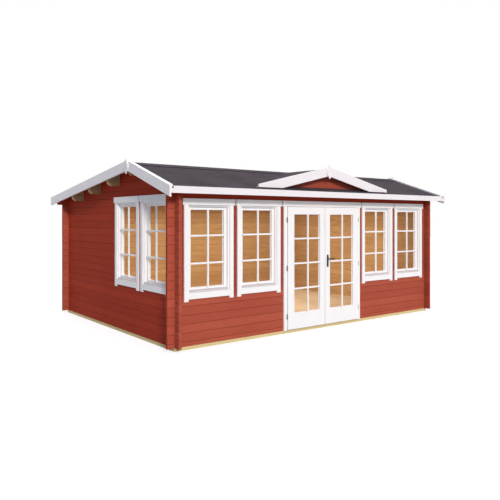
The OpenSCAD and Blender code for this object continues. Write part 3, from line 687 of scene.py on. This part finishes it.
# %% Weather bars
NOSE_R, NOSE_OUT, NOSE_UP = 0.004, 0.0045, 0.0800
BAR_HALF, SILL = 0.3188, 0.705
turn = np.linspace(0.15 * np.pi, -0.24 * np.pi, 4)
weather_profile = np.vstack([
    [[-0.0354, 0.0820], [-0.0354, 0.0935], [-0.0300, 0.0935]],  # upright behind, against the sash
    np.column_stack([NOSE_OUT + NOSE_R * np.cos(turn), NOSE_UP + NOSE_R * np.sin(turn)]),
    [[0.0085, 0.0590], [0.0006, 0.0590], [0.0006, 0.0820]],  # lip in front of the sill
])
shells = []
for middle, across, out in front_windows + side_windows:
    foot = middle + SILL * Z
    ends = foot - BAR_HALF * across, foot + BAR_HALF * across
    shells.append(straight(*ends, out, Z, weather_profile))
make_piece("weather_bars", shells, bare_metal, "house")

# %% [markdown]
# ## Floor and roof boards
# The floor solid is one slab and so are the roof boards. The real ones are narrow boards with
# bevelled edges, which show as fine dark lines. Each board is a short outline with two bevels,
# carried along its length. The pieces take the slabs' places. The floor boards beside the doorway
# stop short of the door linings.

# %% Board outline
BOARD_GAP, FLOOR_BEVEL, ROOF_BEVEL = 0.0003, 0.0022, 0.0030


def board_outline(width, thick, bevel):
    """Outline of a board from its lower middle, bevelled at its two upper edges.

    It is a hair narrower than its pitch, by the gap on each side.
    """
    half = width / 2 - BOARD_GAP
    return np.array([[-half, 0], [half, 0], [half, thick - bevel], [half - bevel, thick],
                     [-half + bevel, thick], [-half, thick - bevel]])


print("a floor board's outline has", len(board_outline(FLOOR_PITCH, 0.02, FLOOR_BEVEL)), "points")

# %% Floor boards
FLOOR_ROWS, LINING_X = 34, (0.770, 0.823)
floor_low, floor_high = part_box("floor_boards")
thick = floor_high.z - floor_low.z


def floor_board(x0, x1, y, outline):
    """A board that lies on the joists from one X to another."""
    return straight((x0, y, floor_low.z), (x1, y, floor_low.z), Y, Z, outline)


outline = board_outline(FLOOR_PITCH, thick, FLOOR_BEVEL)
rows_y = LINING_BACK + FLOOR_PITCH * (np.arange(FLOOR_ROWS) + 0.5)
shells = [floor_board(floor_low.x, floor_high.x, y, outline) for y in rows_y]
strip = board_outline(LINING_BACK - floor_low.y, thick, FLOOR_BEVEL)
strip_y = (LINING_BACK + floor_low.y) / 2
inner, outer = LINING_X
for x0, x1 in ((floor_low.x, -outer), (-inner, inner), (outer, floor_high.x)):
    shells.append(floor_board(x0, x1, strip_y, strip))
floor_planks = make_piece("floor_planks", shells, floor_pine, "house")
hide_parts("floor_boards")
reached = rows_y[-1] + FLOOR_PITCH / 2
print("floor boards reach to", round(float(reached), 4), "of", round(floor_high.y, 4))

# %% Roof boards, bevelled towards the room
RIDGE_Y, RIDGE_UNDER, DECK_T = -1.030, 2.5577, 0.0197
# place of the eaves and fall in a metre
SLOPES = {"front_roof": (-2.2317, 0.33266), "rear_roof": (2.2317, 0.13343)}
for name, (eaves_y, fall) in SLOPES.items():
    low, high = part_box(name + "_boards")
    count = int(round((high.x - low.x) / ROOF_PITCH))
    pitch = (high.x - low.x) / count
    outline = board_outline(pitch, DECK_T, ROOF_BEVEL) * [1, -1] + [0, DECK_T]
    ends = [y * Y + (RIDGE_UNDER - abs(y - RIDGE_Y) * fall) * Z for y in (eaves_y, RIDGE_Y)]
    middles = low.x + pitch * (np.arange(count) + 0.5)
    shells = [straight(ends[0] + x * X, ends[1] + x * X, X, Z, outline) for x in middles]
    planks = make_piece(name + "_planks", shells, roof_pine, "house")
    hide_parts(name + "_boards")
    print(name, count, "boards, box", [round(v, 4) for v in low], [round(v, 4) for v in high])

# %% [markdown]
# ## Screws and bolts
# Trim boards and lock plates are screwed on, and a bolt sits at each end of the front fascia. Its
# dark head is painted shadow for the small dark gap at the fascia's end. A head is a shallow dome
# with a cross cut into it: a few rings of twelve points, where the two inner rings sink at every
# third point. All heads of one face are stamped with one sum:
# place + across * point.x + up * point.y + out * point.z.

# %% The head and its stamp
HEAD_SIDES = 12
angle = np.linspace(0.0, 2 * np.pi, HEAD_SIDES, endpoint=False)
ring_size = np.array([1.0, 0.94, 0.62, 0.30])[:, None]
ring_height = np.array([0.0, 0.22, 0.36, 0.40])[:, None]
ring_sink = np.array([0.0, 0.0, 0.30, 0.34])[:, None]
cross = np.where(np.arange(HEAD_SIDES) % 3 == 0, 1.0, 0.0)
head_points = np.stack([ring_size * np.cos(angle), ring_size * np.sin(angle),
                        ring_height - ring_sink * cross], axis=-1)


def screw_heads(places, across, out, size):
    """Heads of one size at many places on one face: dome rings, closed by a foot and a crown."""
    local = head_points.reshape(-1, 3) * size
    up = np.cross(out, across)
    step = local[:, :1] * across + local[:, 1:2] * up + local[:, 2:] * out
    faces = tube_faces(*head_points.shape[:2])
    return [(np.asarray(place, float) + step, faces) for place in places]


print("a head has", head_points.shape[0] * head_points.shape[1], "points")

# %% Screws in the trim
TRIM_FACE, TRIM_X, TRIM_Z = 0.020, 0.3745, np.linspace(0.72, 1.90, 4)
HEADER_FACE, HEADER_Z = 0.028, 2.001
WINDOW_HEADER, DOOR_HEADER = (-0.36, 0.0, 0.36), (-0.80, -0.40, 0.0, 0.40, 0.80)
SCREW_SIZE = 0.0042


def header_spots(middle, across, out, spread):
    """Places along the header board over an opening."""
    return [middle + x * across + HEADER_FACE * out + HEADER_Z * Z for x in spread]


shells = screw_heads(header_spots(WALL_FACE * Y, X, -Y, DOOR_HEADER), X, -Y, SCREW_SIZE)
for middle, across, out in front_windows + side_windows:
    boards = [middle + x * across + TRIM_FACE * out for x in (-TRIM_X, TRIM_X)]
    spots = [board + z * Z for board in boards for z in TRIM_Z]
    spots += header_spots(middle, across, out, WINDOW_HEADER)
    shells += screw_heads(spots, across, out, SCREW_SIZE)
make_piece("trim_screws", shells, white_paint, "house")

# %% Bolts at the ends of the front fascia
# The dark bolt heads are painted shadow for the small gap at each end of the fascia
BOLT_X, BOLT_Y, BOLT_Z, BOLT_SIZE = 2.944, -2.260, 2.172, 0.013
shells = screw_heads([(x, BOLT_Y, BOLT_Z) for x in (-BOLT_X, BOLT_X)], X, -Y, BOLT_SIZE)
make_piece("fascia_shadow_bolts", shells, handle_metal, "house")

# %% [markdown]
# ## Lock
# Under the lever sits a profile cylinder: a round plug over a narrower foot. Its outline is an arc
# closed by a straight-sided tongue, carried a few millimetres out of the plate. A screw holds each
# end of the plate.

# %% Cylinder and plate screws
LOCK_X, LEVER_Z = 0.058, 1.116
PLATE_FRONT, PLATE_BACK = -2.050, -1.990
PLUG_R, PLUG_DROP, PLUG_SUNK, PLUG_LENGTH = 0.0085, 0.074, 0.002, 0.005
PLATE_SCREWS, PLATE_SCREW_SIZE = (0.054, -0.121), 0.0045
arc = np.linspace(-np.pi * 0.30, np.pi * 1.30, 17)
tongue = [[-0.005, -0.022], [-0.003, -0.0245], [0.003, -0.0245], [0.005, -0.022]]
plug = np.column_stack([PLUG_R * np.cos(arc), PLUG_R * np.sin(arc)])
cylinder_outline = np.vstack([plug, tongue])
shells = []
for face_y, out in ((PLATE_FRONT, -Y), (PLATE_BACK, Y)):
    lever = np.array([LOCK_X, face_y, LEVER_Z])
    foot = lever - PLUG_DROP * Z - PLUG_SUNK * out
    shells.append(carried([foot, foot + PLUG_LENGTH * out], [X, X], [Z, Z], cylinder_outline))
    shells += screw_heads([lever + z * Z for z in PLATE_SCREWS], X, out, PLATE_SCREW_SIZE)
make_piece("lock_cylinder", shells, handle_metal, "right_leaf")

# %% [markdown]
# ## Studio
# The cabin stands on a pale floor under even light from all sides, which leaves the walls darker
# under the overhangs and is a little blue, as open shade is. One soft, slightly warm sun from the
# front left draws the shadow of the eaves and grazes the gable, and a broad light from above lifts
# the roof. A weak wide fill from the front opens the shadow under the eaves, and a second one from
# behind lights the rear and the right side. To the camera the floor adds its own light, so it reads
# white but keeps the shadow. A lamp under the roof stands for the daylight that the room would get
# from all sides.


# %% Floor
def seen_directly(tree):
    """1 on rays from the camera, off a mirror and through glass, and 0 on scattered light."""
    ray = node(tree, "LightPath").outputs
    seen = sums(tree, "ADD", ray["Is Camera Ray"], ray["Is Glossy Ray"])
    return sums(tree, "ADD", seen, ray["Is Transmission Ray"], clamp=True)


FLOOR_REACH = 40.0
WHITE = (1.0, 1.0, 1.0, 1.0)
gx, gy = np.meshgrid([-FLOOR_REACH, FLOOR_REACH], [-FLOOR_REACH, FLOOR_REACH])
corners = np.column_stack([gx.ravel(), gy.ravel(), np.zeros(4)])
floor_mesh = bpy.data.meshes.new("studio_floor")
floor_mesh.from_pydata(corners, [], [[0, 1, 3, 2]])
floor = in_scene("studio_floor", floor_mesh)
floor_finish, tree, shader = new_finish("studio_floor")
fill_inputs(tree, shader, {
    "Base Color": (0.42, 0.42, 0.42, 1.0), "Roughness": 1.0, "Specular IOR Level": 0.0,
})
pale = node(tree, "BsdfDiffuse", {"Color": (0.46, 0.46, 0.46, 1.0)}).outputs[0]
glow = node(tree, "Emission", {"Color": WHITE, "Strength": 0.66}).outputs[0]
white_floor = node(tree, "AddShader", {0: pale, 1: glow}).outputs[0]
shown = {0: seen_directly(tree), 1: shader.outputs[0], 2: white_floor}
mixed = node(tree, "MixShader", shown).outputs[0]
tree.links.new(mixed, tree.nodes["Material Output"].inputs["Surface"])
floor_mesh.materials.append(floor_finish)
print("floor of", 2 * FLOOR_REACH, "m laid")

# %% World
world = bpy.data.worlds.new("studio")
bpy.context.scene.world = world
world.use_nodes = True
tree = world.node_tree
tree.nodes.clear()
even = node(tree, "Background", {"Color": (0.66, 0.77, 1.0, 1.0), "Strength": 0.40}).outputs[0]
white = node(tree, "Background", {"Color": WHITE, "Strength": 1.0}).outputs[0]
mixed = node(tree, "MixShader", {0: seen_directly(tree), 1: even, 2: white}).outputs[0]
node(tree, "OutputWorld", {"Surface": mixed})
bpy.context.scene.view_settings.view_transform = "Standard"
print("world of", len(tree.nodes), "nodes")


# %% Lamps
def look_along(direction):
    """Turn of an object whose -Z axis looks along a direction, with its Y axis up."""
    return Vector(direction).to_track_quat("-Z", "Y").to_euler()


SUNS = {  # energy, width in radians, colour, direction of the light
    "sun": (2.20, 0.150, (1.0, 0.94, 0.88), (0.29, 0.86, -0.43)),
    "sky": (1.20, 0.60, WHITE[:3], (0.0, 0.0, -1.0)),
    "fill": (0.74, 1.20, (1.0, 0.93, 0.91), (0.0, 1.0, -0.10)),
    "back_fill": (1.40, 1.20, WHITE[:3], (-0.55, -1.0, -0.25)),
}
for name, (energy, width, colour, direction) in SUNS.items():
    lamp = bpy.data.lights.new(name, "SUN")
    lamp.energy, lamp.angle, lamp.color = energy, width, colour
    in_scene(name, lamp).rotation_euler = look_along(direction)
    print(name, "of", energy, "along", direction)
room = bpy.data.lights.new("room_light", "AREA")
room.shape, room.size, room.size_y, room.energy = "RECTANGLE", 4.6, 3.0, 88.0
room_lamp = in_scene("room_light", room)
room_lamp.location = (0.0, 0.0, 2.02)
room_lamp.visible_camera = room_lamp.visible_glossy = False
print(room.name, "of", room.energy, "at", tuple(round(v, 2) for v in room_lamp.location))

# %% [markdown]
# ## Camera
# The picture was taken from the front left at eye height with the camera held level, and framed
# lower by shifting the lens, which keeps upright edges parallel.

# %% Camera
camera = bpy.data.cameras.new("camera")
camera.lens, camera.sensor_width, camera.shift_y = 40.50, 36.0, -0.0637
viewer = in_scene("camera", camera)
viewer.location = (-6.5407, -8.5258, 1.7769)
viewer.rotation_euler = look_along((0.6109, 0.7917, 0.0))
bpy.context.scene.camera = viewer
print("camera at", tuple(round(v, 3) for v in viewer.location))
